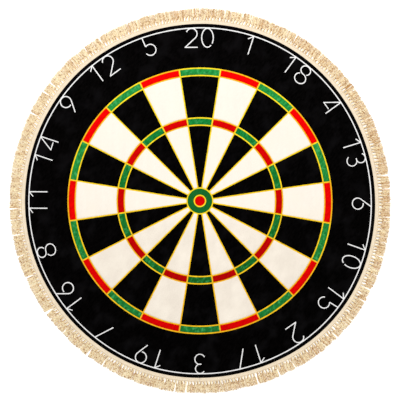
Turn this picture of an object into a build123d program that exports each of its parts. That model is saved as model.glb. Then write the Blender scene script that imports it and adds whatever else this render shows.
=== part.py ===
from build123d import *
import os
from math import acos, atan2, degrees, hypot

# A round beach towel printed as a dartboard, with a cotton brush fringe, laid flat with its print up.
#
# The towel is one disc of terry cloth: a woven ground with looped pile underneath and sheared velour
# pile on top. The velour is one layer dyed in several colours, so it is divided along the edges of
# the print, and each colour of each ring is a node. A heading tape is sewn over the cut edge in two
# rows of lockstitch and carries the fringe, and a care label is sewn to the underside.
#
# Frame: +Z up, +Y towards the number 20, origin on the floor below the bull. Millimetres.

# Outline, seen from above
overall_diameter = 1524.0  # over the fringe
trim_depth = 60.0  # heading and fringe together
heading_width = 15.0
heading_lap = 8.5  # how far the heading lies on the cloth
overlock_thickness = 1.4

field_radius = overall_diameter / 2 - trim_depth  # where the heading starts
cloth_radius = field_radius + heading_lap
heading_radius = field_radius + heading_width

# Layers, from the floor up
terry_height = 1.6
ground_thickness = 0.8
velour_height = 1.6
pressed_velour_height = 0.8  # under the heading
heading_thickness = 1.4

ground_top = terry_height + ground_thickness
pressed_top = ground_top + pressed_velour_height
heading_top = pressed_top + heading_thickness

# Print
sector_count = 20
sector_angle = 360 / sector_count
bull_radius = 22.5
outer_bull_radius = 51.5
treble_inner_radius = 301.0
treble_outer_radius = 330.0
double_inner_radius = 498.0
double_outer_radius = 527.0
wire_width = 5.2
number_ring_radius = 686.0
number_top_radius = number_ring_radius - 1.5  # the ring covers the tops of the numbers
stroke_width = 4.5

# Clockwise from the top: the number, how far it is printed clockwise of its sector's middle, and the
# distance between the middles of its two digits
numbers = [
    ("20", -2, 64), ("1", 2, 0), ("18", 4, 62), ("4", -4, 0), ("13", -1, 59),
    ("6", 2, 0), ("10", 4, 63), ("15", 1, 58), ("2", -2, 0), ("17", 1, 69),
    ("3", -2, 0), ("19", -1, 65), ("7", 2, 0), ("16", -3, 62), ("8", -3, 0),
    ("11", 0, 66), ("14", 2, 64), ("9", 5, 0), ("12", -1, 60), ("5", -3, 0),
]

# Threads
lockstitch_diameter = 0.6
lockstitch_radii = {"heading_stitch_inner": 704.5, "heading_stitch_outer": 708.5}
thread_groove = 0.7  # width and depth of the furrow that a bobbin thread pulls in the terry
chain_thread_diameter = 0.9
chain_thread_radius = heading_radius - 2.0
tape_join_gap = 0.6  # where the two ends of the heading meet

# Fringe: the tufts are held together in runs along the heading
run_count = 12
tufts_per_run = 30
run_angle = 360 / run_count
run_gap_angle = 0.02
fringe_thickness = 2.6

# Care label
label_width, label_length, label_thickness = 40.0, 60.0, 0.4
label_centre = (0, -640)
label_margin = 0.2  # all round, in the pressed pile
label_seam_inset = 2.0
label_thread = 0.35


def ring(inner_radius, outer_radius):
    """Adds a flat ring to the sketch. Rings that share a sketch are added from the outermost in."""
    Circle(outer_radius)
    Circle(inner_radius, mode=Mode.SUBTRACT)


def tangent_angle(x, y, radius):
    """Where the left-hand tangent from the point (x, y) meets a circle about the origin, in degrees."""
    return degrees(atan2(y, x) + acos(radius / hypot(x, y)))


def six_lines():
    """A straight stem that runs into a round bowl and stops short of closing it."""
    bowl_centre, bowl_radius, stem_top, bowl_end = (0, -53), 22.0, (11, 1), 458
    start = tangent_angle(stem_top[0], stem_top[1] - bowl_centre[1], bowl_radius)
    bowl = CenterArc(bowl_centre, bowl_radius, start, bowl_end - start)
    Line(stem_top, bowl @ 0)


def digit_lines(digit):
    """Draws the centre lines of a digit as bent wire. Its top is at y = 0, and stems reach into the ring."""
    if digit == "0":
        EllipticalCenterArc((0, -38), 23, 37, -38, arc_size=346)
    elif digit == "1":
        Line((0, 2), (0, -74))
        Line((0, 0), (-17, -14))
    elif digit == "2":
        bow = CenterArc((1, -22), 21.5, 160, -207)
        Polyline(bow @ 1, (-25, -75), (25, -75))
    elif digit == "3":
        CenterArc((0, -18.5), 18.5, 148, -233)
        Line((-5, -36.5), (2, -36.5))
        CenterArc((1, -56), 20, 98, -252)
    elif digit == "4":
        Line((13, 2), (13, -75))
        Polyline((12, 1), (-26, -54.5), (6, -54.5))
    elif digit == "5":
        bow = CenterArc((1, -53.5), 22, 130, -285)
        Polyline((-17, 2), (-17, 0), bow @ 0)
    elif digit in "69":
        six_lines()
    elif digit == "7":
        Line((20, 2), (-18, -74))
    elif digit == "8":
        EllipticalCenterArc((0, -18.5), 20, 17.5, -52, arc_size=322)
        EllipticalCenterArc((0, -56), 23, 20, 90, arc_size=-326)


def digit_sketch(digit):
    """The printed strokes of a digit. A nine is a six turned half round."""
    with BuildSketch() as strokes:
        with BuildLine():
            digit_lines(digit)
        trace(line_width=stroke_width)
    if digit != "9":
        return strokes.sketch
    with BuildSketch() as turned:
        with Locations(Location((0, -75), (0, 0, 180))):
            add(strokes.sketch)
    return turned.sketch


def bed_ring(inner_radius, outer_radius):
    """The beds between two wire circles, as faces clockwise from the one below 20."""
    with BuildSketch(Plane.XY.offset(ground_top)) as beds:
        ring(inner_radius + wire_width / 2, outer_radius - wire_width / 2)
        with PolarLocations(0, sector_count, start_angle=sector_angle / 2):
            Rectangle(
                outer_radius, wire_width, align=(Align.MIN, Align.CENTER), mode=Mode.SUBTRACT
            )

    def sector(face):
        middle = face.center()
        return round(degrees(atan2(middle.X, middle.Y)) / sector_angle) % sector_count

    return sorted(beds.sketch.faces(), key=sector)


def velour(name, faces):
    """A node of velour pile standing on the ground weave, one solid for each face."""
    with BuildPart() as pile:
        for face in faces:
            extrude(face, amount=velour_height)
    finish(pile, name)


def thread_rings(name, places):
    """A node of threads that run right round the towel, each given as (radius, middle's height, diameter)."""
    with BuildPart() as threads:
        with BuildSketch(Plane.XZ):
            for radius, height, diameter in places:
                with Locations((radius, height)):
                    Circle(diameter / 2)
        revolve(axis=Axis.Z)
    finish(threads, name)


def finish(builder, name):
    """Labels a finished piece and writes it."""
    builder.part.label = name
    export_step(builder.part, f"parts/{name}.step")


def cloth():
    """The looped underside with its stitch furrows and label pocket, and the woven ground above it."""
    with BuildPart() as terry:
        Cylinder(cloth_radius, terry_height, align=(Align.CENTER, Align.CENTER, Align.MIN))
        with BuildSketch():
            for radius in sorted(lockstitch_radii.values(), reverse=True):
                ring(radius - thread_groove / 2, radius + thread_groove / 2)
        extrude(amount=thread_groove, mode=Mode.SUBTRACT)
        with BuildSketch():
            with Locations(label_centre):
                Rectangle(label_width + 2 * label_margin, label_length + 2 * label_margin)
        extrude(amount=label_thread + label_thickness, mode=Mode.SUBTRACT)
    finish(terry, "terry_pile_underside")

    with BuildPart() as ground:
        with BuildSketch(Plane.XY.offset(terry_height)):
            Circle(cloth_radius)
        extrude(amount=ground_thickness)
    finish(ground, "ground_weave")


def printed_velour():
    """The pile on top, divided by colour."""
    treble_beds = bed_ring(treble_inner_radius, treble_outer_radius)
    double_beds = bed_ring(double_inner_radius, double_outer_radius)
    single_beds = [
        bed_ring(outer_bull_radius, treble_inner_radius),
        bed_ring(treble_outer_radius, double_inner_radius),
    ]
    velour("velour_black_beds", [face for beds in single_beds for face in beds[::2]])
    velour("velour_ivory_beds", [face for beds in single_beds for face in beds[1::2]])
    velour("velour_green_trebles", treble_beds[::2])
    velour("velour_red_trebles", treble_beds[1::2])
    velour("velour_green_doubles", double_beds[::2])
    velour("velour_red_doubles", double_beds[1::2])

    with BuildSketch(Plane.XY.offset(ground_top)) as bull:
        Circle(bull_radius - wire_width / 2)
    velour("velour_inner_bull", bull.sketch.faces())

    with BuildSketch(Plane.XY.offset(ground_top)) as outer_bull:
        ring(bull_radius + wire_width / 2, outer_bull_radius - wire_width / 2)
    velour("velour_outer_bull", outer_bull.sketch.faces())

    with BuildSketch(Plane.XY.offset(ground_top)) as wires:
        for radius in (
            double_outer_radius,
            double_inner_radius,
            treble_outer_radius,
            treble_inner_radius,
            outer_bull_radius,
            bull_radius,
        ):
            ring(radius - wire_width / 2, radius + wire_width / 2)
        with PolarLocations(outer_bull_radius, sector_count, start_angle=sector_angle / 2):
            Rectangle(
                double_outer_radius - outer_bull_radius,
                wire_width,
                align=(Align.MIN, Align.CENTER),
            )
    velour("velour_yellow_wires", wires.sketch.faces())

    digits = {digit: digit_sketch(digit) for digit in "0123456789"}
    with BuildSketch(Plane.XY.offset(ground_top)) as number_ring:
        ring(number_ring_radius - stroke_width / 2, number_ring_radius + stroke_width / 2)
        for place, (number, nudge, pitch) in enumerate(numbers):
            turn = -place * sector_angle - degrees(nudge / number_top_radius)
            for position, digit in enumerate(number):
                across = (position - (len(number) - 1) / 2) * pitch
                middle = Vector(across, number_top_radius).rotate(Axis.Z, turn)
                with Locations(Location((middle.X, middle.Y), turn)):
                    add(digits[digit])
    velour("velour_white_number_ring", number_ring.sketch.faces())

    with BuildPart() as surround:
        with BuildSketch(Plane.XY.offset(ground_top)):
            ring(double_outer_radius + wire_width / 2, field_radius)
            add(number_ring.sketch, mode=Mode.SUBTRACT)
        extrude(amount=velour_height)
        with BuildSketch(Plane.XY.offset(ground_top)):
            ring(field_radius, cloth_radius)
        extrude(amount=pressed_velour_height)
    finish(surround, "velour_black_surround")


def edge_trim():
    """Everything that finishes the edge: overlock, heading tape, its threads, and the fringe."""
    with BuildPart() as overlock:
        with BuildSketch(Plane.XZ):
            with Locations((cloth_radius + overlock_thickness / 2, pressed_top / 2)):
                RectangleRounded(overlock_thickness, pressed_top - 0.4, 0.4)
        revolve(axis=Axis.Z)
    finish(overlock, "edge_overlock_thread")

    with BuildPart() as heading:
        with BuildSketch(Plane.XY.offset(pressed_top)):
            ring(field_radius, heading_radius)
            with Locations((0, -(field_radius + heading_radius) / 2)):
                Rectangle(tape_join_gap, heading_width + 2, mode=Mode.SUBTRACT)
        extrude(amount=heading_thickness)
        chamfer(heading.faces().sort_by(Axis.Z)[-1].edges(), 0.3)
    finish(heading, "heading_tape")

    for name, radius in lockstitch_radii.items():
        needle_thread = (radius, heading_top + lockstitch_diameter / 2, lockstitch_diameter)
        bobbin_thread = (radius, lockstitch_diameter / 2, lockstitch_diameter)
        thread_rings(name, [needle_thread, bobbin_thread])
    chain_height = heading_top + chain_thread_diameter / 2
    chain = (chain_thread_radius, chain_height, chain_thread_diameter)
    thread_rings("heading_chain_stitch", [chain])
    fringe()


def fringe():
    """Tufts that leave the heading, drop to the floor and lie flat, close together at their tips."""
    root = cloth_radius + overlock_thickness
    tip = overall_diameter / 2
    with BuildPart() as run:
        with BuildSketch(Plane.XZ):
            with BuildLine():
                Polyline(
                    (root, pressed_top - 1.8),
                    (root, pressed_top),
                    (heading_radius, pressed_top),
                    (heading_radius, heading_top - 0.2),
                    (heading_radius + 4, heading_top - 0.4),
                    (heading_radius + 14, fringe_thickness + 0.6),
                    (tip, fringe_thickness),
                    (tip, 0),
                    (heading_radius + 9, 0),
                    (heading_radius + 2, 1),
                    close=True,
                )
            make_face()
        revolve(axis=Axis.Z, revolution_arc=run_angle - run_gap_angle)
        with BuildSketch():
            with PolarLocations(
                0,
                tufts_per_run + 1,
                start_angle=-run_gap_angle / 2,
                angular_range=run_angle,
                endpoint=True,
            ):
                with BuildLine():
                    Polyline(
                        (heading_radius + 3, -2.8),
                        (heading_radius + 9, -2.4),
                        (heading_radius + 15, -0.5),
                        (tip + 2, -0.5),
                        (tip + 2, 0.5),
                        (heading_radius + 15, 0.5),
                        (heading_radius + 9, 2.4),
                        (heading_radius + 3, 2.8),
                        close=True,
                    )
                make_face()
        extrude(amount=heading_top, mode=Mode.SUBTRACT)
    with BuildPart() as runs:
        with PolarLocations(0, run_count):
            add(run.part)
    finish(runs, "brush_fringe")


def care_label():
    """A blank woven label on the underside, sewn down all round."""
    with BuildPart() as label:
        with BuildSketch(Plane.XY.offset(label_thread)):
            with Locations(label_centre):
                Rectangle(label_width, label_length)
        extrude(amount=label_thickness)
    finish(label, "care_label")

    seam_width = label_width - 2 * label_seam_inset
    seam_length = label_length - 2 * label_seam_inset
    with BuildPart() as seam:
        with BuildSketch():
            with Locations(label_centre):
                Rectangle(seam_width, seam_length)
                Rectangle(
                    seam_width - 2 * label_thread,
                    seam_length - 2 * label_thread,
                    mode=Mode.SUBTRACT,
                )
        extrude(amount=label_thread)
    finish(seam, "care_label_stitching")


os.makedirs("parts", exist_ok=True)
cloth()
printed_velour()
edge_trim()
care_label()
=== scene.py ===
# A round beach towel printed as a dartboard, lying print up on a pale floor.
# +Z is up, +Y points from the bull to the number 20. Metres, and mm turns millimetres into them.

import bpy
import numpy as np
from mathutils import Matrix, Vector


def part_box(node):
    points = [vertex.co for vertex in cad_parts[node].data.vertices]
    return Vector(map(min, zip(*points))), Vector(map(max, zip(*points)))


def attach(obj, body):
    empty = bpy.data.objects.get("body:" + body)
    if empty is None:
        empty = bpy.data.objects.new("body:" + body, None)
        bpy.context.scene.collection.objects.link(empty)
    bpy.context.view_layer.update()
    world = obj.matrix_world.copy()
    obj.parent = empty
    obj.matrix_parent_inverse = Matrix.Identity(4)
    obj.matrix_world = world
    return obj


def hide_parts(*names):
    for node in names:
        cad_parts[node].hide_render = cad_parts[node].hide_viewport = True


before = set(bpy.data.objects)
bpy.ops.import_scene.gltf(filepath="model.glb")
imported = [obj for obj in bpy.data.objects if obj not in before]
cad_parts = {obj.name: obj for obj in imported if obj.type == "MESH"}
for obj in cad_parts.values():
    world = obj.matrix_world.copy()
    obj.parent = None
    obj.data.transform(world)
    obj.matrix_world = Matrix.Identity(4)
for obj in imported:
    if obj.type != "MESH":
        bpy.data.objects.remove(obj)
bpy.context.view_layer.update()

mm = 0.001
turn = 2 * np.pi


def reach(node):
    # radius of a round CAD node about the bull
    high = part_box(node)[1]
    return max(high.x, high.y)


def layer(node):
    # heights of the underside and the top of a CAD node
    low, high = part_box(node)
    return low.z, high.z


towel = {
    "tip": reach("brush_fringe"),
    "heading": reach("heading_tape"),
    "cloth": reach("ground_weave"),
    "terry": layer("terry_pile_underside"),
    "ground": layer("ground_weave"),
    "velour": layer("velour_ivory_beds"),
    "tape": layer("heading_tape"),
}

# circles of the print, middles of the yellow wires
wires = {
    "bull": 22.5 * mm,
    "outerBull": 51.5 * mm,
    "trebleIn": 301 * mm,
    "trebleOut": 330 * mm,
    "doubleIn": 498 * mm,
    "doubleOut": 527 * mm,
    "width": 5.2 * mm,
    "spokeWidth": 5.7 * mm,
    "spokeDrop": 0.05 * mm,  # so that the spokes run under the circles
    "sectors": 20,
}


def outward(clock):
    # unit vectors away from the bull at clock angles, which start at +Y
    return np.stack([np.sin(clock), np.cos(clock)], -1)


def clockwise(clock):
    # and square to them, the way the clock goes
    return np.stack([np.cos(clock), -np.sin(clock)], -1)


# how the cloth lies

lie = {
    "fieldEdge": 702 * mm,
    # the edge strays from round: times round, how far, clock degrees of one peak
    "waver": (
        (1, 2.1 * mm, 100), (2, 4.35 * mm, 163), (3, 1.45 * mm, 10), (4, 2.05 * mm, 36), (5, 0.85 * mm, 47),
        (6, 0.8 * mm, 13),
    ),
    "waverPower": 3,
    # and points slide round it, clockwise: times round, how far at the slide radius, clock degrees of a peak
    "slide": (
        (0, 1.6 * mm, 0), (1, 1.95 * mm, 99), (2, 2.2 * mm, 99), (3, 0.35 * mm, 107), (4, 0.8 * mm, 1),
        (5, 0.4 * mm, 46),
    ),
    "slideRadius": 513 * mm,
    "slidePower": 1.6,
    "floorGap": 0.3 * mm,
    "billow": 1.5 * mm,
    # waves: radians to the metre along x and along y, and the phase
    "wideWaves": ((8.3, 4.1, 0.7), (-4.9, 9.7, 2.1)),
    "smallWave": (15.1, -11.3, 4.0),
    "smallBend": (1.4, 6.1),  # how far the small wave bends, and radians to the metre along y
    "smallShare": 0.25,
    # the flutter of the edge: height, times round, and how far it bends, times round and its phase
    "flutter": 1.3 * mm,
    "flutterTimes": 13,
    "flutterBend": (1.7, 2, 0.6),
    "flutterFrom": 520 * mm,
    "flutterOver": 170 * mm,
    "label": (0.0, -640 * mm),
    "overLabel": 0.9 * mm,
    "labelSpread": 70 * mm,
}


def sineWave(x, y, alongX, alongY, phase):
    # a straight wave over the plane: the sine of so many radians to the metre along x and along y
    return np.sin(alongX * x + alongY * y + phase)


def billow(x, y):
    # height of the cloth off the floor: crossing low waves, a flutter near the edge, a rise over the label
    wide = 0.5 + 0.25 * sum(sineWave(x, y, *wave) for wave in lie["wideWaves"])
    alongX, alongY, phase = lie["smallWave"]
    bend, bendAlongY = lie["smallBend"]
    small = 0.5 + 0.5 * sineWave(x, y, alongX, alongY, phase + bend * np.sin(bendAlongY * y))
    clock = np.arctan2(x, y)
    edge = np.clip((np.hypot(x, y) - lie["flutterFrom"]) / lie["flutterOver"], 0, 1) ** 2
    bend, times, phase = lie["flutterBend"]
    flutter = (0.5 + 0.5 * np.sin(lie["flutterTimes"] * clock + bend * np.sin(times * clock + phase))) ** 2
    labelX, labelY = lie["label"]
    label = np.exp(-((x - labelX) ** 2 + (y - labelY) ** 2) / lie["labelSpread"] ** 2)
    waves = lie["billow"] * ((1 - lie["smallShare"]) * wide + lie["smallShare"] * small)
    return lie["floorGap"] + waves + lie["flutter"] * edge * flutter + lie["overLabel"] * label


def wavesRound(clock, waves):
    # sum of size times cos(n (clock - peak))
    return sum(size * np.cos(n * (clock - np.radians(peak))) for n, size, peak in waves)


def slideRound(r, clock):
    # how far a point slides clockwise: grows with a power of the radius, up to the edge of the field
    share = (np.clip(r, 0, lie["fieldEdge"]) / lie["slideRadius"]) ** lie["slidePower"]
    return wavesRound(clock, lie["slide"]) * share


def layDown(points, lift=1.0):
    # moves points of the flat towel to where they lie: out by the waver, which grows with the cube of
    # the radius, round by the slide, and up by the billow
    x, y, z = points[..., 0], points[..., 1], points[..., 2]
    r = np.hypot(x, y)
    away = np.maximum(r, 1e-9)
    clock = np.arctan2(x, y)
    share = np.clip(r / lie["fieldEdge"], 0, 1) ** lie["waverPower"]
    out = 1 + wavesRound(clock, lie["waver"]) * share / away
    slide = slideRound(r, clock) / away
    x, y = x * out + y * slide, y * out - x * slide
    return np.stack([x, y, z + lift * billow(x, y)], -1)


# meshes from grids of points


def addPiece(name, points, faces, finish, slot, nodes, uv=None, tone=None):
    # one closed mesh of four-cornered faces, turned outwards, riding on the only body
    points = points.reshape(-1, 3)
    faces = faces.reshape(-1, 4)
    a, b, c, d = (points[faces[:, i]] for i in range(4))
    volume = np.einsum("ij,ij->i", a, np.cross(b, c) + np.cross(c, d)).sum()
    if volume < 0:
        faces = faces[:, ::-1]
    mesh = bpy.data.meshes.new(name)
    mesh.vertices.add(len(points))
    mesh.vertices.foreach_set("co", points.astype(np.float32).ravel())
    mesh.loops.add(faces.size)
    mesh.loops.foreach_set("vertex_index", faces.astype(np.int32).ravel())
    mesh.polygons.add(len(faces))
    mesh.polygons.foreach_set("loop_start", np.arange(0, faces.size, 4, dtype=np.int32))
    mesh.polygons.foreach_set("use_smooth", np.ones(len(faces), bool))
    if uv is not None:
        along = mesh.uv_layers.new(name="along")
        along.data.foreach_set("uv", uv.reshape(-1, 2)[faces].astype(np.float32).ravel())
    if tone is not None:
        ownTone = mesh.attributes.new("tone", "FLOAT", "POINT")
        ownTone.data.foreach_set("value", tone.astype(np.float32).ravel())
    mesh.update(calc_edges=True)
    mesh.materials.append(finish)
    piece = bpy.data.objects.new(name, mesh)
    bpy.context.scene.collection.objects.link(piece)
    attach(piece, "root")
    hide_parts(*nodes)
    return piece


def gridFaces(rows, columns):
    # one face between every four neighbours of a grid
    start = (np.arange(rows - 1)[:, None] * columns + np.arange(columns - 1)).ravel()
    return np.stack([start, start + 1, start + columns + 1, start + columns], -1)


def slabFaces(rows, columns):
    # a top grid, a bottom grid after it, and the wall between their rims
    top = gridFaces(rows, columns)
    index = np.arange(rows * columns).reshape(rows, columns)
    rim = np.concatenate([index[0, :], index[1:, -1], index[-1, -2::-1], index[-2:0:-1, 0]])
    after = np.roll(rim, -1)
    under = rows * columns
    wall = np.stack([after, rim, rim + under, after + under], -1)
    return np.concatenate([top, top[:, ::-1] + under, wall])


def tubeFaces(count, rings, corners, closed):
    # side faces of equal tubes, and where they are open, end caps of four-cornered strips
    ring = np.arange(rings if closed else rings - 1)[:, None] * corners
    corner = np.arange(corners)[None, :]
    ahead, beside = (ring + corners) % (rings * corners), (corner + 1) % corners
    side = np.stack([ring + corner, ring + beside, ahead + beside, ahead + corner], -1)
    faces = [side.reshape(-1, 4)]
    if not closed:
        k = np.arange(corners // 2 - 1)
        cap = np.stack([k + 1, k, corners - 1 - k, corners - 2 - k], -1)
        faces += [cap, cap[:, ::-1] + (rings - 1) * corners]
    tube = np.concatenate(faces)
    return (tube[None] + np.arange(count)[:, None, None] * rings * corners).reshape(-1, 4)


def merge(parts):
    # joins (points, faces) pairs into one pair
    points, faces, first = [], [], 0
    for somePoints, someFaces in parts:
        somePoints = somePoints.reshape(-1, 3)
        points.append(somePoints)
        faces.append(someFaces + first)
        first += len(somePoints)
    return np.concatenate(points), np.concatenate(faces)


# finishes


def newFinish(name):
    # a material with its node tree and its shader
    finish = bpy.data.materials.new(name)
    finish.use_nodes = True
    nodes, links = finish.node_tree.nodes, finish.node_tree.links
    return finish, nodes, links, nodes["Principled BSDF"]


def linear(rgb):
    # screen colour 0 to 255 as scene-linear
    c = np.array(rgb, float) / 255
    return (*np.where(c <= 0.04045, c / 12.92, ((c + 0.055) / 1.055) ** 2.4), 1.0)


def mixColors(nodes, links, kind, factor, first, second):
    # each of the three is a socket or a fixed value
    mix = nodes.new("ShaderNodeMix")
    mix.data_type = "RGBA"
    mix.blend_type = kind
    for socket, value in ((mix.inputs[0], factor), (mix.inputs[6], first), (mix.inputs[7], second)):
        if isinstance(value, bpy.types.NodeSocket):
            links.new(value, socket)
        else:
            socket.default_value = value
    return mix.outputs[2]


def remap(nodes, links, value, source, target):
    # value carried from one range to another
    carry = nodes.new("ShaderNodeMapRange")
    carry.inputs["From Min"].default_value, carry.inputs["From Max"].default_value = source
    carry.inputs["To Min"].default_value, carry.inputs["To Max"].default_value = target
    links.new(value, carry.inputs["Value"])
    return carry.outputs["Result"]


def clamp(nodes, links, value):
    # value kept between 0 and 1
    keep = nodes.new("ShaderNodeClamp")
    links.new(value, keep.inputs["Value"])
    return keep.outputs["Result"]


def noiseBetween(nodes, links, vector, scale, target, stretch=None, detail=3.0):
    # noise remapped to a range, for multiplying a colour or adding a height
    if stretch:
        mapping = nodes.new("ShaderNodeMapping")
        mapping.inputs["Scale"].default_value = stretch
        links.new(vector, mapping.inputs["Vector"])
        vector = mapping.outputs["Vector"]
    noise = nodes.new("ShaderNodeTexNoise")
    noise.inputs["Scale"].default_value = scale
    noise.inputs["Detail"].default_value = detail
    links.new(vector, noise.inputs["Vector"])
    return remap(nodes, links, noise.outputs["Fac"], (0.3, 0.7), target)


def raiseBy(nodes, links, shader, height, strength, distance, invert=False):
    # bumps the surface by a height from 0 to 1
    bump = nodes.new("ShaderNodeBump")
    bump.invert = invert
    bump.inputs["Strength"].default_value = strength
    bump.inputs["Distance"].default_value = distance
    links.new(height, bump.inputs["Height"])
    links.new(bump.outputs["Normal"], shader.inputs["Normal"])


def setCloth(shader, roughness=0.95, specular=0.08, sheen=0.15):
    # matt, with the pale sheen of loose fibre
    shader.inputs["Roughness"].default_value = roughness
    shader.inputs["Specular IOR Level"].default_value = specular
    shader.inputs["Sheen Weight"].default_value = sheen
    shader.inputs["Sheen Roughness"].default_value = 0.45


velourLook = {
    "pile": 620.0,  # tuft ends to the metre
    "pileHeight": 0.5 * mm,
    "bump": 0.45,
    "roughness": 0.97,
    "mottle": (0.90, 1.07),
    "streak": (0.955, 1.035),
    "streakStretch": (38.0, 9.0, 1.0),
    "brushed": (0.80, 1.16),  # nap laid this way and that, in patches about 7 by 19 mm
    "brushedStretch": (150.0, 52.0, 1.0),
    "bloomStretch": (1.3, 1.0, 1.0),
    "leaning": 0.6,  # radians that the patches and the bloom are turned by
}

plainVelour = {
    "sheen": 0.03,
    "specular": 0.02,
    "mottle": 1.0,  # strength of the mottle and the streaks
    "brushed": 1.0,
    "paintedFalloffSpan": (-0.55, 0.55),  # Y from which and to which the colour goes from near to far: painted light falloff, darker towards -Y
    "bloom": None,  # colour, clouds to the metre, and what the noise is spread over
    "byTone": False,  # the dye goes by the piece's own tone instead of by Y
}


def velourFinish(name, far, near, **changes):
    # dyed velour with a painted light falloff, lighter towards +Y and painted shade towards -Y, mottled by
    # the tuft ends, by streaks and by brushed patches. where given, a bloom lies on it in clouds
    look = {**plainVelour, **changes}
    finish, nodes, links, shader = newFinish(name)
    place = nodes.new("ShaderNodeTexCoord").outputs["Object"]
    turned = nodes.new("ShaderNodeMapping")
    turned.inputs["Rotation"].default_value = (0, 0, velourLook["leaning"])
    links.new(place, turned.inputs["Vector"])
    leaning = turned.outputs["Vector"]
    if look["byTone"]:
        own = nodes.new("ShaderNodeAttribute")
        own.attribute_name = "tone"
        share = own.outputs["Fac"]
    else:
        parts = nodes.new("ShaderNodeSeparateXYZ")
        links.new(place, parts.inputs[0])
        # painted light falloff: the colour goes darker towards -Y
        share = remap(nodes, links, parts.outputs["Y"], look["paintedFalloffSpan"], (0, 1))
    color = mixColors(nodes, links, "MIX", share, linear(near), linear(far))
    layers = (  # range, strength, over what, how fine, stretched how, with how much detail
        ("mottle", look["mottle"], place, velourLook["pile"], None, 3.0),
        ("streak", look["mottle"], place, 1.0, velourLook["streakStretch"], 6.0),
        ("brushed", look["brushed"], leaning, 1.0, velourLook["brushedStretch"], 5.0),
    )
    for key, strength, vector, scale, stretch, detail in layers:
        target = [1 + (value - 1) * strength for value in velourLook[key]]
        shade = noiseBetween(nodes, links, vector, scale, target, stretch, detail)
        color = mixColors(nodes, links, "MULTIPLY", 1.0, color, shade)
    if look["bloom"]:
        tint, clouds, *target = look["bloom"]
        bloom = noiseBetween(nodes, links, leaning, clouds, target, velourLook["bloomStretch"], 9.0)
        color = mixColors(nodes, links, "MIX", clamp(nodes, links, bloom), color, linear(tint))
    links.new(color, shader.inputs["Base Color"])
    tuftEnds = noiseBetween(nodes, links, place, velourLook["pile"], (0, 1))
    raiseBy(nodes, links, shader, tuftEnds, velourLook["bump"], velourLook["pileHeight"])
    setCloth(shader, velourLook["roughness"], look["specular"], look["sheen"])
    return finish


terryLook = {
    "loops": 520.0,  # to the metre
    "scatter": 0.7,
    "shade": (1.04, 0.78),  # painted highlight on the top of a loop, and painted shade between loops
    "loopHeight": 1.0 * mm,
    "bump": 0.8,
}


def terryFinish(name, color):
    # small loops: cells of about 2 mm, with a painted highlight on their tops and painted shade between them
    finish, nodes, links, shader = newFinish(name)
    place = nodes.new("ShaderNodeTexCoord").outputs["Object"]
    loops = nodes.new("ShaderNodeTexVoronoi")
    loops.inputs["Scale"].default_value = terryLook["loops"]
    loops.inputs["Randomness"].default_value = terryLook["scatter"]
    links.new(place, loops.inputs["Vector"])
    fromTop = loops.outputs["Distance"]
    shade = remap(nodes, links, fromTop, (0, 0.6), terryLook["shade"])
    shaded = mixColors(nodes, links, "MULTIPLY", 1.0, linear(color), shade)
    links.new(shaded, shader.inputs["Base Color"])
    raiseBy(nodes, links, shader, fromTop, terryLook["bump"], terryLook["loopHeight"], True)
    setCloth(shader)
    return finish


wovenLook = {
    "uneven": 0.4,  # distortion of the threads
    "soil": (0.935, 1.045),
    "soilPatches": 60.0,  # to the metre
    "bump": 0.6,
    "specular": 0.12,
}


def wovenFinish(name, color, thread, sheen=0.1, roughness=0.9, contrast=0.14):
    # plain weave on the piece's own strip coordinates: threads along and across, each a raised band
    finish, nodes, links, shader = newFinish(name)
    strip = nodes.new("ShaderNodeUVMap")
    strip.uv_map = "along"
    crossing = nodes.new("ShaderNodeMath")
    crossing.operation = "MULTIPLY"
    for socket, direction in zip(crossing.inputs, ("X", "Y")):
        bands = nodes.new("ShaderNodeTexWave")
        bands.bands_direction = direction
        bands.inputs["Scale"].default_value = turn / 20 / thread  # scale 1 is 20 radians to the unit
        bands.inputs["Distortion"].default_value = wovenLook["uneven"]
        links.new(strip.outputs["UV"], bands.inputs["Vector"])
        links.new(bands.outputs["Fac"], socket)
    shade = remap(nodes, links, crossing.outputs[0], (0, 1), (1 - contrast, 1 + contrast / 3))
    base = mixColors(nodes, links, "MULTIPLY", 1.0, linear(color), shade)
    place = nodes.new("ShaderNodeTexCoord").outputs["Object"]
    soil = noiseBetween(nodes, links, place, wovenLook["soilPatches"], wovenLook["soil"], detail=5.0)
    base = mixColors(nodes, links, "MULTIPLY", 1.0, base, soil)
    links.new(base, shader.inputs["Base Color"])
    raiseBy(nodes, links, shader, crossing.outputs[0], wovenLook["bump"], thread / 3)
    setCloth(shader, roughness, wovenLook["specular"], sheen)
    return finish


yarnLook = {
    # painted shadow colour of the hollows between strands
    "hollowShadow": (136, 122, 100),
    "flecks": 180.0,  # to the metre
    "fleckShare": (-1.5, 1.2),
    "twist": 1500.0,
    "twistDepth": 0.3 * mm,
    "bump": 0.5,
}


def yarnFinish(name, pale, deep, fleck):
    # cotton yarn: each strand has its own tone between pale and deep, with darker flecks and a fine twist;
    # from tone 1 to 2 it goes on to a painted shadow colour, the shade of its hollows
    finish, nodes, links, shader = newFinish(name)
    place = nodes.new("ShaderNodeTexCoord").outputs["Object"]
    own = nodes.new("ShaderNodeAttribute")
    own.attribute_name = "tone"
    color = mixColors(nodes, links, "MIX", own.outputs["Fac"], linear(pale), linear(deep))
    spots = noiseBetween(nodes, links, place, yarnLook["flecks"], yarnLook["fleckShare"])
    color = mixColors(nodes, links, "MIX", clamp(nodes, links, spots), color, linear(fleck))
    # painted shadow: tones from 1 to 2 go on to the hollows' shade
    hollowShadowShare = remap(nodes, links, own.outputs["Fac"], (1, 2), (0, 1))
    color = mixColors(nodes, links, "MIX", hollowShadowShare, color, linear(yarnLook["hollowShadow"]))
    links.new(color, shader.inputs["Base Color"])
    twist = noiseBetween(nodes, links, place, yarnLook["twist"], (0, 1))
    raiseBy(nodes, links, shader, twist, yarnLook["bump"], yarnLook["twistDepth"])
    setCloth(shader, 0.92, 0.1)
    return finish
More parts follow.
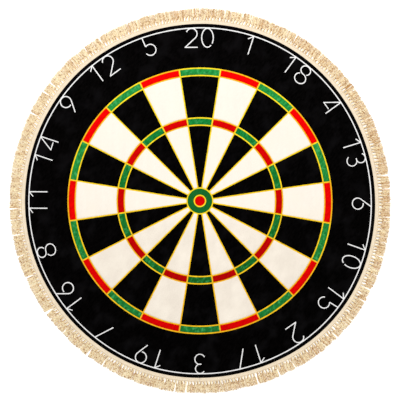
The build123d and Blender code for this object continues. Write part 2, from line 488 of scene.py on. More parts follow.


# each dye at the far edge, towards +Y, and at the near edge, darker there by a painted light falloff; the
# yellow on the green and on the red
dyesAndPaintedFalloff = {
    "black": ((6, 5, 5), (4, 3, 3)),
    "ivory": ((237, 229, 217), (228, 218, 204)),
    "redDoubles": ((237, 2, 3), (204, 2, 3)),
    "greenDoubles": ((34, 142, 64), (27, 112, 48)),
    "redTrebles": ((216, 2, 3), (152, 2, 3)),
    "greenTrebles": ((19, 134, 59), (23, 80, 23)),
    "innerBullRed": ((207, 2, 3), (207, 2, 3)),
    "outerBullGreen": ((22, 98, 40), (22, 98, 40)),
    "yellow": ((244, 216, 38), (235, 176, 28)),
    "white": ((236, 235, 234), (232, 231, 230)),
}

# what differs from the plain velour
dyeChanges = {
    "black": {
        "sheen": 0.01, "specular": 0.0, "mottle": 4.5, "brushed": 3.5,
        "bloom": ((13, 12, 13), 14.0, -0.7, 0.9),
    },
    "ivory": {
        "sheen": 0.12, "specular": 0.06, "mottle": 0.6, "brushed": 0.1, "paintedFalloffSpan": (-0.13, -0.02),
        "bloom": ((237, 228, 214), 12.0, -0.4, 0.9),
    },
    "white": {"sheen": 0.12, "specular": 0.06, "mottle": 0.8, "brushed": 0.3},
    "yellow": {"byTone": True},
    "greenDoubles": {"mottle": 2.0, "brushed": 2.2, "bloom": ((70, 168, 98), 75.0, -1.0, 0.8)},
    "greenTrebles": {"mottle": 2.0, "brushed": 2.2, "bloom": ((54, 150, 84), 75.0, -1.0, 0.8)},
}

velours = {
    name: velourFinish("velour " + name, *tones, **dyeChanges.get(name, {})) for name, tones in dyesAndPaintedFalloff.items()
}
terryWhite = terryFinish("terry loops white", (236, 231, 220))
tapeCream = wovenFinish("heading tape cream", (245, 228, 201), 1.3 * mm)
groundWhite = terryFinish("ground weave white", (232, 226, 214))
labelSatin = wovenFinish("label satin", (243, 242, 240), 0.5 * mm, 0.3, 0.55, 0.05)
threadCream = yarnFinish("sewing thread cream", (238, 222, 194), (226, 206, 172), (214, 190, 150))
threadWhite = yarnFinish("overlock thread white", (240, 236, 228), (230, 224, 212), (220, 212, 198))
fringeCotton = yarnFinish("fringe cotton", (255, 242, 205), (206, 156, 92), (180, 128, 72))
print("finishes made")

# the cloth: terry below, ground weave, and the printed velour on top

cloth = {
    "spacing": 9 * mm,  # between the grid points of a bed
    "groundCells": 120,
    "terryCells": 150,
    "terryInset": 0.3 * mm,
    "nap": 0.09 * mm,
    # radians to the metre across a ripple, how far it bends, and radians to the metre of the bend
    "ripples": ((171, 2.1, 53), (263, 1.7, 87)),
}


def nap(x, y):
    # low relief of the sheared pile: ripples 20 to 40 mm long that cross, each bent along the other
    (acrossX, bendX, alongY), (acrossY, bendY, alongX) = cloth["ripples"]
    ripplesX = np.sin(acrossX * x + bendX * np.sin(alongY * y))
    ripplesY = np.sin(acrossY * y + bendY * np.sin(alongX * x + 1))
    return cloth["nap"] * (ripplesX + ripplesY)


def slab(x, y, low, high):
    # a grid of places as a closed layer from low up to high
    levels = [np.stack([x, y, z + 0 * x], -1) for z in (high, low)]
    return layDown(np.stack(levels)), slabFaces(*x.shape)


def discSlab(radius, low, high, cells, relief=0.0):
    # a square grid stretched into a disc: x = u sqrt(1 - v v / 2), y = v sqrt(1 - u u / 2)
    u, v = np.meshgrid(np.linspace(-1, 1, cells + 1), np.linspace(-1, 1, cells + 1))
    x, y = radius * u * np.sqrt(1 - v * v / 2), radius * v * np.sqrt(1 - u * u / 2)
    return slab(x, y, low, high + relief * nap(x, y))


def bedSlab(inner, outer, sector, low, high):
    # one bed between two circles and two spokes, as a grid of radii and clock angles
    rows = max(3, round((outer - inner) / cloth["spacing"]) + 1)
    columns = max(4, round(outer * turn / wires["sectors"] / cloth["spacing"]) + 1)
    r, clock = np.meshgrid(
        np.linspace(inner, outer, rows),
        turn / wires["sectors"] * (sector + np.linspace(-0.5, 0.5, columns)),
        indexing="ij",
    )
    x, y = r * np.sin(clock), r * np.cos(clock)
    return slab(x, y, low, high + nap(x, y))


def layerProfile(radii, heights, low):
    # outline of a layer: the top outwards, then the level underside back again
    top = np.stack([radii, heights + 0 * radii], -1)
    bottom = np.stack([radii[::-1], low + 0 * radii], -1)
    return np.concatenate([top, bottom])


def carryRound(profile, clock, relief=0.0):
    # a closed outline of (radius, height) points, at every clock angle
    places = profile[:, :1] * outward(clock)[:, None]
    z = profile[:, 1] + relief * nap(places[..., 0], places[..., 1])
    return layDown(np.concatenate([places, z[..., None]], -1))


def ringSlab(profile, steps):
    # the outline carried once round the bull
    clock = np.linspace(0, turn, steps, endpoint=False)
    return carryRound(profile, clock, 1.0), tubeFaces(1, steps, len(profile), True)


groundWeave = addPiece(
    "groundWeave", *discSlab(towel["cloth"], *towel["ground"], cloth["groundCells"]),
    groundWhite, "ground_white", ["ground_weave"],
)
terryUnderside = addPiece(
    "terryUnderside", *discSlab(towel["cloth"] - cloth["terryInset"], *towel["terry"], cloth["terryCells"]),
    terryWhite, "terry_white", ["terry_pile_underside"],
)

velourLow, velourHigh = towel["velour"]
singles = [(wires["outerBull"], wires["trebleIn"]), (wires["trebleOut"], wires["doubleIn"])]
trebles = [(wires["trebleIn"], wires["trebleOut"])]
doubles = [(wires["doubleIn"], wires["doubleOut"])]
bedPieces = [
    ("blackBeds", singles, 0, "black", "velour_black", "velour_black_beds"),
    ("ivoryBeds", singles, 1, "ivory", "velour_ivory", "velour_ivory_beds"),
    ("greenTrebles", trebles, 0, "greenTrebles", "velour_green_mid", "velour_green_trebles"),
    ("redTrebles", trebles, 1, "redTrebles", "velour_red_mid", "velour_red_trebles"),
    ("greenDoubles", doubles, 0, "greenDoubles", "velour_green_bright", "velour_green_doubles"),
    ("redDoubles", doubles, 1, "redDoubles", "velour_red_bright", "velour_red_doubles"),
]
faceOfTowel = []
for name, bands, firstSector, dye, slot, node in bedPieces:
    beds = [
        bedSlab(inner, outer, sector, velourLow, velourHigh)
        for inner, outer in bands
        for sector in range(firstSector, wires["sectors"], 2)
    ]
    faceOfTowel.append(addPiece(name, *merge(beds), velours[dye], slot, [node]))

bull = {"ringRadii": 5, "ringSteps": 72, "cells": 12}
bullRadii = np.linspace(wires["bull"], wires["outerBull"], bull["ringRadii"])
outerBull = addPiece(
    "outerBull", *ringSlab(layerProfile(bullRadii, velourHigh, velourLow), bull["ringSteps"]),
    velours["outerBullGreen"], "velour_green_deep", ["velour_outer_bull"],
)
innerBull = addPiece(
    "innerBull", *discSlab(wires["bull"], velourLow, velourHigh, bull["cells"], 1.0),
    velours["innerBullRed"], "velour_red_deep", ["velour_inner_bull"],
)

surround = {
    "steps": 480,
    "pressed": towel["tape"][0],  # top of the pile under the heading
    "levelTo": lie["fieldEdge"] - 4 * mm,
    # the fall to the pressed rim: how far beyond the heading's edge, and the share of the pile that is left
    "fall": ((-2.2 * mm, 0.9), (-1.0 * mm, 0.75), (0.2 * mm, 0.45), (2.5 * mm, 0.1)),
    "rimDrop": 0.1 * mm,
}
levelSteps = round((lie["fieldEdge"] - wires["doubleOut"]) / cloth["spacing"])
levelRadii = np.linspace(wires["doubleOut"], surround["levelTo"], levelSteps)
fallRadii, fallShares = np.array(surround["fall"]).T
fallHeights = surround["pressed"] + fallShares * (velourHigh - surround["pressed"])
surroundProfile = layerProfile(
    np.concatenate([levelRadii, lie["fieldEdge"] + fallRadii, [towel["cloth"]]]),
    np.concatenate([velourHigh + 0 * levelRadii, fallHeights, [surround["pressed"] - surround["rimDrop"]]]),
    velourLow,
)
blackSurround = addPiece(
    "blackSurround", *ringSlab(surroundProfile, surround["steps"]),
    velours["black"], "velour_black", ["velour_black_surround"],
)
faceOfTowel += [outerBull, innerBull, blackSurround]
print("cloth made")

# printed lines: soft-edged ribbons just proud of the pile

line = {
    "proud": 0.2 * mm,
    "sunk": 0.7 * mm,  # its underside, below the top of the pile
    "level": 0.72,  # share of the width that is level
    "edge": -0.15,  # height of the edges, as a share of how far the line is proud
    "fuzz": 0.18 * mm,  # how far the edges stray
    "sway": 0.6,  # and what share of that the whole line strays
    "step": 5 * mm,
}
# across in half widths, and height: low at the edges, level between them, then the underside back again
lineTop = np.array([(-1, line["edge"]), (-line["level"], 1), (line["level"], 1), (1, line["edge"])])
lineSection = layerProfile(lineTop[:, 0], lineTop[:, 1], -line["sunk"] / line["proud"])


def stray(path, salt):
    # small smooth noise along a path, from where its points are
    x, y = path[..., 0], path[..., 1]
    return 0.5 * (sineWave(x, y, 617, 431, salt) + sineWave(x, y, 283, -709, 2.3 * salt))


def ribbon(path, width, closed, height=velourHigh):
    # the line's section carried along a path, square to it
    if closed:
        along = np.roll(path, -1, 0) - np.roll(path, 1, 0)
    else:
        along = np.gradient(path, axis=0)
    along /= np.linalg.norm(along, axis=1)[:, None]
    side = np.stack([along[:, 1], -along[:, 0]], -1)
    middle = path + side * (line["fuzz"] * line["sway"] * stray(path, 1.0))[:, None]
    half = width / 2 + line["fuzz"] * stray(path, 2.6)
    spread = middle[:, None] + side[:, None] * (half[:, None] * lineSection[:, 0])[..., None]
    z = height + line["proud"] * lineSection[None, :, 1] + nap(path[:, 0], path[:, 1])[:, None]
    points = layDown(np.concatenate([spread, z[..., None]], -1))
    return points, tubeFaces(1, len(path), len(lineSection), closed)


def circlePath(radius):
    # a circle about the bull, in even steps
    steps = max(40, round(turn * radius / line["step"]))
    return radius * outward(np.linspace(0, turn, steps, endpoint=False))


# how yellow a wire is, from amber at 0 to yellow at 1; slopes are to the metre towards +Y, a painted light
# falloff that makes the wires darker and more amber towards -Y
wireTone = {
    "bull": 0.8,
    "spoke": (0.5, 0.9),
    "besideGreen": (0.65, 0.6),
    "sharpness": 3,  # of the change from green to red
    "circlePaintedFalloffSlope": 0.3,
}


def bullTone(x, y):
    # the same all round
    return wireTone["bull"] + 0 * x


def circleTone(x, y):
    # yellower beside green, amber beside red, and both more yellow towards +Y by a painted light falloff
    beside = 0.5 + wireTone["sharpness"] * np.cos(np.arctan2(x, y) * wires["sectors"] / 2)
    tone, paintedFalloffSlope = wireTone["besideGreen"]
    return np.clip(beside, 0, 1) * (tone + paintedFalloffSlope * y) + wireTone["circlePaintedFalloffSlope"] * y


def spokeTone(x, y):
    # more yellow towards +Y: painted light falloff
    tone, paintedFalloffSlope = wireTone["spoke"]
    return tone + paintedFalloffSlope * y


wireRuns = [
    (circlePath(wires[key]), wires["width"], True, velourHigh, toneAt)
    for key, toneAt in (
        ("bull", bullTone), ("outerBull", bullTone), ("trebleIn", circleTone), ("trebleOut", circleTone),
        ("doubleIn", circleTone), ("doubleOut", circleTone),
    )
]
spokeSteps = round((wires["doubleOut"] - wires["outerBull"]) / line["step"])
spokeRadii = np.linspace(wires["outerBull"], wires["doubleOut"], spokeSteps)[:, None]
for spoke in range(wires["sectors"]):
    path = spokeRadii * outward(turn / wires["sectors"] * (spoke + 0.5))
    wireRuns.append((path, wires["spokeWidth"], False, velourHigh - wires["spokeDrop"], spokeTone))
wireParts, wireTones = [], []
for path, width, closed, height, toneAt in wireRuns:
    points, faces = ribbon(path, width, closed, height)
    wireParts.append((points, faces))
    wireTones.append(np.clip(toneAt(points[..., 0], points[..., 1]), 0, 1).ravel())
yellowWires = addPiece(
    "yellowWires", *merge(wireParts), velours["yellow"], "velour_yellow", ["velour_yellow_wires"],
    tone=np.concatenate(wireTones),
)

numberRing = {
    "radius": 686 * mm,
    "top": 1.5 * mm,  # the numbers' tops below the ring's middle
    "stroke": 4.5 * mm,
    "step": 2.5 * mm,
    "underlap": 0.04 * mm,  # each later stroke of a digit lies this much lower
}
# clockwise from the top: the number, how far it is printed clockwise of its sector's middle, and from one
# of its digits to the other, in mm
numbers = [
    ("20", -2, 64), ("1", 2, 0), ("18", 4, 62), ("4", -4, 0), ("13", -1, 59), ("6", 2, 0), ("10", 4, 63),
    ("15", 1, 58), ("2", -2, 0), ("17", 1, 69), ("3", -2, 0), ("19", -1, 65), ("7", 2, 0), ("16", -3, 62),
    ("8", -3, 0), ("11", 0, 66), ("14", 2, 64), ("9", 5, 0), ("12", -1, 60), ("5", -3, 0),
]


def arc(x, y, across, up, start, sweep):
    # points of an ellipse from start degrees through sweep degrees
    angle = np.radians(np.linspace(start, start + sweep, 48))
    return np.stack([x + across * np.cos(angle), y + up * np.sin(angle)], -1)


def stroke(*points):
    # one pen stroke through points or arcs, resampled evenly, in metres
    path = np.concatenate([np.atleast_2d(np.array(p, float)) for p in points]) * mm
    gaps = np.linalg.norm(np.diff(path, axis=0), axis=1)
    path = path[np.concatenate([[True], gaps > 1e-6])]
    run = np.concatenate([[0], np.cumsum(np.linalg.norm(np.diff(path, axis=0), axis=1))])
    even = np.linspace(0, run[-1], max(5, round(run[-1] / numberRing["step"])))
    return np.stack([np.interp(even, run, path[:, 0]), np.interp(even, run, path[:, 1])], -1)


def bowlAndStem():
    # the six: a stem that meets its bowl on a tangent, where the top is (x, y) from the bowl's middle
    x, y, r = 11.0, 54.0, 22.0
    start = np.degrees(np.arctan2(y, x) + np.arccos(r / np.hypot(x, y)))
    return stroke((11, 1), arc(0, -53, r, r, start, 458 - start))


# strokes of each digit as bent wire, in mm: the top at y = 0, the foot at about -75
digits = {
    "0": [stroke(arc(0, -38, 23, 37, -38, 346))],
    "1": [stroke((0, 2), (0, -74)), stroke((0, 0), (-19, -15.5))],
    "2": [stroke(arc(1, -22, 21.5, 21.5, 160, -207), (-25, -75)), stroke((-27, -75), (25, -75))],
    "3": [
        stroke(arc(0, -18.5, 18.5, 18.5, 148, -233)),
        stroke((-5, -36.5), (2, -36.5)),
        stroke(arc(1, -56, 20, 20, 98, -252)),
    ],
    "4": [stroke((13, 2), (13, -75)), stroke((12, 1), (-26, -54.5)), stroke((-28, -54.5), (6, -54.5))],
    "5": [stroke((-17, 2), (-17, 0), (-13.5, -37)), stroke(arc(1, -53.5, 22, 22, 130, -285))],
    "6": [bowlAndStem()],
    "7": [stroke((20, 2), (-18, -74))],
    "8": [stroke(arc(0, -18.5, 20, 17.5, -52, 322)), stroke(arc(0, -56, 23, 20, 90, -326))],
}
digits["9"] = [np.array([0, -75 * mm]) - path for path in digits["6"]]  # the six turned over

whiteParts = [ribbon(circlePath(numberRing["radius"]), numberRing["stroke"], True)]
numberTop = numberRing["radius"] - numberRing["top"]
for sector, (number, nudge, pitch) in enumerate(numbers):
    clock = turn / wires["sectors"] * sector + nudge * mm / numberTop
    for place, digit in enumerate(number):
        shift = (place - (len(number) - 1) / 2) * pitch * mm
        for count, path in enumerate(digits[digit]):
            placed = (path[:, :1] + shift) * clockwise(clock) + (path[:, 1:] + numberTop) * outward(clock)
            height = velourHigh - numberRing["underlap"] * (1 + count)
            whiteParts.append(ribbon(placed, numberRing["stroke"], False, height))
whiteNumbers = addPiece(
    "whiteNumberRing", *merge(whiteParts), velours["white"], "velour_white", ["velour_white_number_ring"]
)
faceOfTowel += [yellowWires, whiteNumbers]
print("print made")

# the heading tape and its sewing

tapeLow, tapeHigh = towel["tape"]
heading = {
    "inner": lie["fieldEdge"],
    "outer": towel["heading"],
    "inset": 0.1 * mm,  # of the tape's faces within the CAD's
    "ribs": 4,
    "rib": 0.12 * mm,
    "selvedge": 0.35 * mm,  # how far the selvedges are rounded down
    "selvedgeShare": 0.08,
    "seams": (704.5 * mm, 708.5 * mm),
    "seamDip": 0.35 * mm,
    "seamWide": 0.7 * mm,
    "slit": 0.6 * mm,  # where the two ends meet, at -Y
    "steps": 1200,
    "across": 26,
}


def tapeTop(r):
    # height of the tape across its width: rounded selvedges, shallow ribs, and a dip along each seam
    across = (r - heading["inner"]) / (heading["outer"] - heading["inner"])
    share = heading["selvedgeShare"]
    edges = np.clip(1 - across / share, 0, 1) ** 2 + np.clip(1 - (1 - across) / share, 0, 1) ** 2
    ribs = heading["rib"] * np.cos(turn * heading["ribs"] * across)
    dips = sum(np.exp(-(((r - seam) / heading["seamWide"]) ** 2)) for seam in heading["seams"])
    return tapeHigh - heading["inset"] + ribs - heading["selvedge"] * edges - heading["seamDip"] * dips


tapeRadii = np.linspace(heading["inner"], heading["outer"], heading["across"])
tapeProfile = layerProfile(tapeRadii, tapeTop(tapeRadii), tapeLow + heading["inset"])
halfSlit = heading["slit"] / 2 / heading["inner"]
tapeClock = np.linspace(-np.pi + halfSlit, np.pi - halfSlit, heading["steps"])
tapeFaces = tubeFaces(1, heading["steps"], len(tapeProfile), False)
tapeUv = np.stack(np.meshgrid(tapeClock * heading["inner"], tapeProfile[:, 0], indexing="ij"), -1)
headingTape = addPiece(
    "headingTape", carryRound(tapeProfile, tapeClock), tapeFaces, tapeCream, "heading_cream",
    ["heading_tape"], uv=tapeUv,
)

fourCorners = ((1, 0), (0, 1), (-1, 0), (0, -1))  # of a thread's section


def thinEnds(first, last, points):
    # share of the full thickness along a bit of thread: the sine from first to last half turns, to the 0.4
    return np.sin(np.linspace(first, last, points) * np.pi) ** 0.4


def stitchBend(share, dive, points=5):
    # places along a stitch in stitch lengths, and how far each has dived: the cube towards both ends
    along = np.linspace(-share, share, points)
    return along, dive * (np.abs(along) / share) ** 3


def threadBits(clock, radius, height, spine, thickness, salt):
    # short bits of thread, one at each clock angle. spine gives (along, across, up) offsets of its points.
    # each bit has four corners round and its own tone
    along, across = clockwise(clock)[:, None], outward(clock)[:, None]
    flat = across * (radius + spine[None, :, 1:2]) + along * spine[None, :, 0:1]
    z = height + 0 * clock[:, None] + spine[None, :, 2]
    middle = np.concatenate([flat, z[..., None]], -1)
    run = np.gradient(spine, axis=0)
    run /= np.linalg.norm(run, axis=1)[:, None]
    up = np.array([0, 0, 1.0]) - run * run[:, 2:3]
    steep = np.linalg.norm(up, axis=1)[:, None] < 0.3
    up = np.where(steep, np.array([0, 1.0, 0]), up)
    up /= np.linalg.norm(up, axis=1)[:, None]
    side = np.cross(run, up)
    half = (thickness / 2 * thinEnds(0.12, 0.88, len(spine)))[:, None]
    ring = np.stack([(side * c + up * s) * half for c, s in fourCorners], 1)  # points, corners, directions
    turned = along[:, :, None] * ring[None, :, :, 0:1] + across[:, :, None] * ring[None, :, :, 1:2]
    lifted = np.broadcast_to(ring[None, :, :, 2:3], (*turned.shape[:3], 1))
    points = middle[:, :, None] + np.concatenate([turned, lifted], -1)
    tones = np.random.default_rng(salt).random(len(clock))
    tone = np.broadcast_to(tones[:, None, None], points.shape[:3])
    return layDown(points), tubeFaces(len(clock), len(spine), len(fourCorners), False), tone.ravel()


def sew(name, rows, finish, slot, node):
    # rows of thread bits as one piece
    points, faces = merge([row[:2] for row in rows])
    tone = np.concatenate([row[2] for row in rows])
    return addPiece(name, points, faces, finish, slot, [node], tone=tone)


sewing = {
    "stitch": 4.2 * mm,
    "thread": 0.62 * mm,
    "shown": 0.46,  # half the share of a stitch that shows
    "dive": 0.45 * mm,
    "above": 0.22 * mm,  # middle of the needle thread over the tape
    "below": 0.05 * mm,  # middle of the bobbin thread
    "chainLink": 4.0 * mm,
    "chainThread": 0.75 * mm,
    "chainWide": 0.95 * mm,
    "chainRise": 0.25 * mm,
    "chainInset": 2 * mm,
    "overlockPitch": 3.2 * mm,
    "overlockThread": 0.55 * mm,
    "overlockOut": 1.0 * mm,
    "overlockInset": 0.1 * mm,
    "overlockThin": 0.35 * mm,  # how much nearer the middle of the edge than its faces the loops lie
}


def evenClock(radius, pitch):
    # clock angles round a circle, a whole number of pitches
    count = round(turn * radius / pitch)
    return np.linspace(0, turn, count, endpoint=False)


bend, dive = stitchBend(sewing["shown"], sewing["dive"])
needle = np.stack([bend * sewing["stitch"], 0 * bend, -dive], -1)
bobbin = needle * np.array([1, 1, -1])
for name, seam, node, salt in (
    ("headingStitchInner", heading["seams"][0], "heading_stitch_inner", 11),
    ("headingStitchOuter", heading["seams"][1], "heading_stitch_outer", 12),
):
    clock = evenClock(seam, sewing["stitch"])
    rows = [
        threadBits(clock, seam, tapeTop(seam) + sewing["above"], needle, sewing["thread"], salt),
        threadBits(clock, seam, sewing["below"], bobbin, sewing["thread"], salt + 40),
    ]
    sew(name, rows, threadCream, "thread_cream", node)

# chain stitch: each link a narrow teardrop, its tail inside the one before
linkAngle = np.linspace(0.08, 0.92, 9) * turn
linkSpine = np.stack(
    [
        -0.62 * sewing["chainLink"] * np.cos(linkAngle),
        sewing["chainWide"] * np.sin(linkAngle) * (0.7 - 0.3 * np.cos(linkAngle)),
        sewing["chainRise"] * np.cos(linkAngle) ** 2,
    ],
    -1,
)
chainRadius = towel["heading"] - sewing["chainInset"]
chainClock = evenClock(chainRadius, sewing["chainLink"])
chainHeight = tapeTop(chainRadius) + sewing["chainRise"]
chain = threadBits(chainClock, chainRadius, chainHeight, linkSpine, sewing["chainThread"], 13)
sew("headingChainStitch", [chain], threadCream, "thread_cream", "heading_chain_stitch")

# overlock: loops that wrap the cut edge, leaning along it
wrap = np.linspace(-0.55, 0.55, 9) * np.pi
edgeHeight = surround["pressed"] / 2
wrapSpine = np.stack(
    [
        0.3 * sewing["overlockPitch"] * np.sin(wrap),
        sewing["overlockOut"] * np.cos(wrap) - sewing["overlockInset"],
        (edgeHeight - sewing["overlockThin"]) * np.sin(wrap),
    ],
    -1,
)
overlockClock = evenClock(towel["cloth"], sewing["overlockPitch"])
wraps = threadBits(overlockClock, towel["cloth"], edgeHeight, wrapSpine, sewing["overlockThread"], 14)
sew("edgeOverlock", [wraps], threadWhite, "overlock_white", "edge_overlock_thread")
print("heading sewn")

# the brush fringe

fringe = {
    "tufts": 360,
    "runs": 12,
    "yarns": 20,  # to a tuft, in two layers
    "yarn": 1.35 * mm,
    "points": 13,  # along a yarn
    "firstDraw": 700,
    "root": towel["heading"] - 3 * mm,
    "tip": towel["tip"] + 0.8 * mm,
    "uneven": 2.0 * mm,
    "trimmed": (-6 * mm, 3 * mm),  # least and most
    "combedAndShadedAt": np.radians(115),  # where the legs are longest, and where the painted shadow down their sides is strongest, as a clock angle
    "combed": 1.2 * mm,  # how much longer there, and how much the yarns of a leg differ
    "legHalf": (3.1 * mm, 0.45 * mm),  # half a leg's width, and how much it differs
    "brushHalf": 7.0 * mm,
    "legEnd": (8.8 * mm, 2.6 * mm),  # beyond the heading, where a tuft starts to open
    "opening": (9 * mm, 4 * mm),  # how long it takes to open
    "lean": (1.3 * mm, 0.8 * mm),  # of a tuft and of a yarn
    "leanOver": 40 * mm,
    "slant": 1.6 * mm,
    "slantOver": 14 * mm,
    "crimp": 0.55 * mm,
    "crimpLong": (10 * mm, 17 * mm),
    "partingWide": 9 * mm,  # how far round a parting pushes the tips
    "partingOver": 44 * mm,
    "rootHigh": (1.6 * mm, 1.1 * mm),  # of the lower yarns, and how much more of the upper
    "humpHigh": (3.3 * mm, 0.9 * mm),  # the same, where they come out of the tape
    "humpRound": 0.55 * mm,
    "fall": (2 * mm, 14 * mm),  # beyond the heading, where the yarns come down, and over how much
    "settleOver": 30 * mm,
    "sideShade": 0.08,  # painted shade: tone that is added to one side of the towel
    "sideShadeAt": np.radians(60),
    # where the tufts part: clock degrees, and how wide at the tips, in mm
    "partings": (
        (7.7, 3), (13.1, 5), (30.4, 5), (49.2, 3), (54.3, 3), (82.1, 9), (86.3, 4), (94.9, 5), (102.8, 5),
        (107.1, 6), (112.9, 4), (117.6, 6), (121.5, 6), (128.3, 3), (134.8, 6), (150.2, 3), (155.3, 6),
        (162.2, 5), (184.3, 5), (187.6, 6), (210.7, 4), (216.2, 10), (226.1, 5), (233.9, 11), (246.1, 8),
        (252.9, 4), (259.5, 5), (264.2, 4), (267.6, 6), (280.0, 3), (297.5, 6), (305.0, 6), (308.3, 5),
        (328.2, 6),
    ),
}


def smooth(x):
    # from 0 to 1 with level ends: 3 x x - 2 x x x
    x = np.clip(x, 0, 1)
    return x * x * (3 - 2 * x)


def partTips(across, tuftClock, out):
    # pushes yarns away from each parting, more towards the tips, less the further off they are
    tipClock = tuftClock + across[:, -1:] / fringe["tip"]
    tipClock = tipClock + slideRound(fringe["tip"], tipClock) / fringe["tip"]
    for where, width in fringe["partings"]:
        off = ((tipClock - np.radians(where) + np.pi) % turn - np.pi) * fringe["tip"]
        push = np.sign(off) * width / 2 * mm * np.exp(-((off / fringe["partingWide"]) ** 2))
        across = across + push * np.clip(out / fringe["partingOver"], 0, 1) ** 0.8
    return across


def fringeRun(run):
    # yarns as functions of s from root to tip: the radius grows evenly; across, a yarn keeps to its leg,
    # then spreads to its share of the brush, crimping as it goes; its height falls from the heading to
    # the floor
    draw = np.random.default_rng(fringe["firstDraw"] + run)
    tuftsHere = fringe["tufts"] // fringe["runs"]
    yarns = fringe["yarns"]
    count = tuftsHere * yarns

    def perTuft(middle, spread):
        return np.repeat(draw.normal(middle, spread, tuftsHere), yarns)[:, None]

    def perYarn(spread):
        return draw.normal(0, spread, count)[:, None]

    def perStrand(spread, size):
        # yarns that lie together, so many to the strand
        return np.repeat(draw.normal(0, spread, count // size), size)[:, None]

    def evenly(low, high):
        return draw.uniform(low, high, count)[:, None]

    tuft = np.repeat(np.arange(tuftsHere), yarns)[:, None]
    share = np.tile(np.repeat(np.linspace(-1, 1, yarns // 2), 2), tuftsHere)[:, None] + perYarn(0.1)
    upper = np.tile([0.0, 1.0], count // 2)[:, None]
    pitch = turn / fringe["tufts"]
    tuftClock = turn / fringe["runs"] * run + pitch * (tuft + 0.5) + perTuft(0, 0.05) * pitch

    ragged = 0.5 * np.sin(23 * tuftClock + 1) + 0.4 * np.sin(57 * tuftClock)
    trim = fringe["uneven"] * (ragged + perTuft(0, 0.5) + perYarn(1.1))
    tip = fringe["tip"] + np.clip(trim, *fringe["trimmed"])
    s = np.linspace(0, 1, fringe["points"])[None, :] ** 0.9
    r = fringe["root"] + (tip - fringe["root"]) * s
    out = r - towel["heading"]

    combed = np.cos(tuftClock - fringe["combedAndShadedAt"])
    legEnd = np.clip(perTuft(*fringe["legEnd"]) + fringe["combed"] * combed, 2 * mm, 16 * mm)
    opensAt = legEnd + perYarn(fringe["combed"])
    opened = smooth((out - opensAt) / np.clip(perTuft(*fringe["opening"]), 5 * mm, 18 * mm))
    leg = np.clip(perTuft(*fringe["legHalf"]), 2 * mm, 4.5 * mm)
    tuftLean, yarnLean = fringe["lean"]
    lean = (perTuft(0, tuftLean) + perYarn(yarnLean)) * smooth(out / fringe["leanOver"])
    slant = fringe["slant"] * (0.4 + np.sin(5 * tuftClock + 1.2)) * smooth(out / fringe["slantOver"])
    across = share * (leg * (1 - opened) + fringe["brushHalf"] * opened) + lean + slant
    phase = evenly(0, turn) + out * turn / evenly(*fringe["crimpLong"])
    across = across + fringe["crimp"] * np.sin(phase) * (0.35 + 0.65 * opened)
    clock = tuftClock + partTips(across, tuftClock, out) / r

    lying = fringe["yarn"] * (0.5 + 0.8 * upper) + evenly(0, 0.5 * mm)
    rootHigh, hump = (low + more * upper for low, more in (fringe["rootHigh"], fringe["humpHigh"]))
    hump = hump - fringe["humpRound"] * np.abs(share)
    outOfTape = smooth(out / (3 * mm) + 0.9)
    fallFrom, fallOver = fringe["fall"]
    fall = smooth((out - fallFrom) / fallOver)
    crimpUp = np.cos(phase) * opened
    z = (rootHigh * (1 - outOfTape) + hump * outOfTape) * (1 - fall)
    z = z + (lying + 0.5 * fringe["crimp"] * (1 + crimpUp)) * fall
    # the yarn leaves the cloth's billow and lies on the floor
    settled = 1 - 0.9 * smooth(out / fringe["settleOver"])
    radius = fringe["yarn"] / 2 * (1 - 0.3 * s**6)
    middle = np.stack([r * np.sin(clock), r * np.cos(clock), z], -1)
    level = 0 * clock
    side = np.stack([np.cos(clock), -np.sin(clock), level], -1) * radius[..., None]
    rise = np.stack([level, level, radius + level], -1)
    points = layDown(middle[:, :, None] + np.stack([side, rise, -side, -rise], 2), settled[:, :, None])

    # painted shade: darker where a yarn dips, in its tuft's hollows, and painted shadow down the sides of a
    # leg
    # painted shade on one side of the towel, where the tones also spread further
    shaded = np.cos(tuftClock - fringe["sideShadeAt"])
    own = perTuft(0.25, 0.05) + fringe["sideShade"] * shaded
    own = own + (0.9 + 0.3 * shaded) * (perStrand(0.1, 10) + perStrand(0.2, 4) + perYarn(0.12))
    own = own * (0.45 + 0.55 * smooth((out - 5 * mm) / (14 * mm)))
    # painted shade where a yarn dips and on the lower layer of a tuft
    dips = (0.2 * (1 - crimpUp) - 0.14 * upper - 0.05) * opened
    # painted shadow down the sides of a leg, taking the tone from 1 to 2, strongest on one side of the towel
    legSideShadow = (1 - opened) * smooth((share - 0.45) / 0.3) * smooth(out / (3 * mm)) * (0.78 + 0.22 * combed)
    tone = np.clip(own + dips, 0, 1) * (1 - legSideShadow) + 2 * legSideShadow
    tone = np.broadcast_to(tone[..., None], points.shape[:3])
    return points, tubeFaces(count, fringe["points"], 4, False), tone


for run in range(fringe["runs"]):
    points, faces, tone = fringeRun(run)
    name = f"brushFringe{run + 1:02d}"
    addPiece(name, points, faces, fringeCotton, "fringe_cream", ["brush_fringe"], tone=tone)
print("fringe made")

# the care label, under the cloth near the -Y edge

label = {
    "width": 40 * mm,
    "length": 60 * mm,
    "thick": 0.4 * mm,
    "top": 0.15 * mm,
    "across": 25,  # grid points
    "along": 37,
    "swell": 0.12 * mm,
    "crease": 0.05 * mm,
    "inset": 2 * mm,  # of the stitching
    "stitch": 2.6 * mm,
    "shown": 0.44,  # half the share of a stitch that shows
    "dive": 0.2 * mm,
    "under": 0.02 * mm,
    "thread": 0.34 * mm,
}
u, v = np.meshgrid(np.linspace(-0.5, 0.5, label["across"]), np.linspace(-0.5, 0.5, label["along"]))
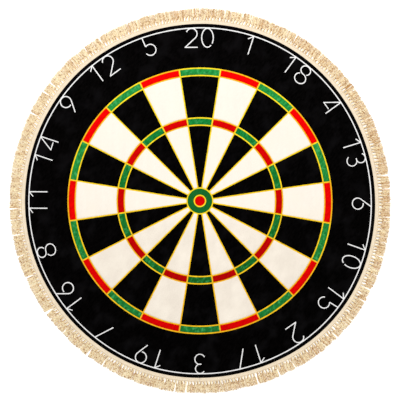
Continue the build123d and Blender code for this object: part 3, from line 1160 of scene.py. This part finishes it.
# the stitching draws the label in a little, so its middle and its hems swell
swell = label["swell"] * np.cos(np.pi * u) * np.cos(np.pi * v)
swell = swell + label["crease"] * np.sin(40 * u) * np.sin(31 * v)
labelLow = label["top"] - label["thick"] - swell
labelX, labelY = lie["label"][0] + label["width"] * u, lie["label"][1] + label["length"] * v
labelUv = np.stack([np.stack([labelX, labelY], -1)] * 2)
careLabel = addPiece(
    "careLabel", *slab(labelX, labelY, labelLow, label["top"]), labelSatin, "label_white", ["care_label"],
    uv=labelUv,
)

seamX, seamY = label["width"] / 2 - label["inset"], label["length"] / 2 - label["inset"]
seamCorners = np.array([(-seamX, -seamY), (seamX, -seamY), (seamX, seamY), (-seamX, seamY)])
bend, dive = stitchBend(label["shown"], label["dive"])
depth = labelLow.min() - label["under"] + dive
radius = label["thread"] / 2 * thinEnds(0.15, 0.85, len(bend))
bits = []
for start, end in zip(seamCorners, np.roll(seamCorners, -1, 0)):
    count = round(np.linalg.norm(end - start) / label["stitch"])
    step = (end - start) / count
    direction = step / np.linalg.norm(step)
    square = np.array([direction[1], -direction[0]])
    middle = start + step * (np.arange(count)[:, None] + 0.5) + np.array(lie["label"])
    spine = middle[:, None] + bend[None, :, None] * step
    corners = []
    for c, s in fourCorners:
        flat = spine + square * (c * radius)[None, :, None]
        z = np.broadcast_to(depth + s * radius, spine.shape[:2])
        corners.append(np.concatenate([flat, z[..., None]], -1))
    bits.append((layDown(np.stack(corners, 2)), tubeFaces(count, len(bend), len(fourCorners), False)))
points, faces = merge(bits)
labelStitching = addPiece(
    "careLabelStitching", points, faces, threadWhite, "label_thread", ["care_label_stitching"],
    tone=np.full(len(points), 0.3),
)
print("label sewn")

# floor, light and camera

floorLook = {"half": 30.0, "low": -0.2 * mm, "color": (0.93, 0.93, 0.93, 1), "roughness": 0.9, "glow": 0.35}
floorMesh = bpy.data.meshes.new("floor")
square = np.array([(-1, -1), (1, -1), (1, 1), (-1, 1)]) * floorLook["half"]
floorCorners = [(x, y, floorLook["low"]) for x, y in square]
floorMesh.from_pydata(floorCorners, [], [(0, 1, 2, 3)])
floorFinish, _, _, floorShader = newFinish("floor white")
floorShader.inputs["Base Color"].default_value = floorLook["color"]
floorShader.inputs["Roughness"].default_value = floorLook["roughness"]
floorShader.inputs["Specular IOR Level"].default_value = 0.1
floorShader.inputs["Emission Color"].default_value = (1, 1, 1, 1)
floorShader.inputs["Emission Strength"].default_value = floorLook["glow"]
floorMesh.materials.append(floorFinish)
floor = bpy.data.objects.new("floor", floorMesh)
bpy.context.scene.collection.objects.link(floor)

light = {
    "sky": 0.66,
    "skyColor": (1.0, 0.995, 0.985, 1),
    "size": 2.6,
    "keyPower": 78.0,
    "keyPlace": (-0.4, 2.2, 2.6),
    "fillPower": 30.0,
    "fillPlace": (1.6, -1.8, 3.0),
}
sky = bpy.data.worlds.new("sky")
sky.use_nodes = True
background = sky.node_tree.nodes["Background"]
background.inputs["Color"].default_value = light["skyColor"]
background.inputs["Strength"].default_value = light["sky"]
bpy.context.scene.world = sky


def softLight(name, place, power):
    # a square lamp that is aimed at the middle of the towel
    lamp = bpy.data.lights.new(name, "AREA")
    lamp.energy = power
    lamp.size = light["size"]
    thing = bpy.data.objects.new(name, lamp)
    thing.location = place
    aim = -np.array(place)
    yaw = np.arctan2(aim[0], -aim[1])
    thing.rotation_euler = (np.arccos(-aim[2] / np.linalg.norm(aim)), 0, yaw + np.pi)
    bpy.context.scene.collection.objects.link(thing)


softLight("key", light["keyPlace"], light["keyPower"])
softLight("fill", light["fillPlace"], light["fillPower"])

view = {"lens": 85.0, "sensor": 36.0, "width": 1.5932, "up": 3.7 * mm, "right": 0.4 * mm}
lens = bpy.data.cameras.new("camera")
lens.lens = view["lens"]
lens.sensor_width = view["sensor"]
camera = bpy.data.objects.new("camera", lens)
camera.location = (view["right"], view["up"], view["width"] * view["lens"] / view["sensor"])
bpy.context.scene.collection.objects.link(camera)
bpy.context.scene.camera = camera
bpy.context.scene.view_settings.view_transform = "Standard"
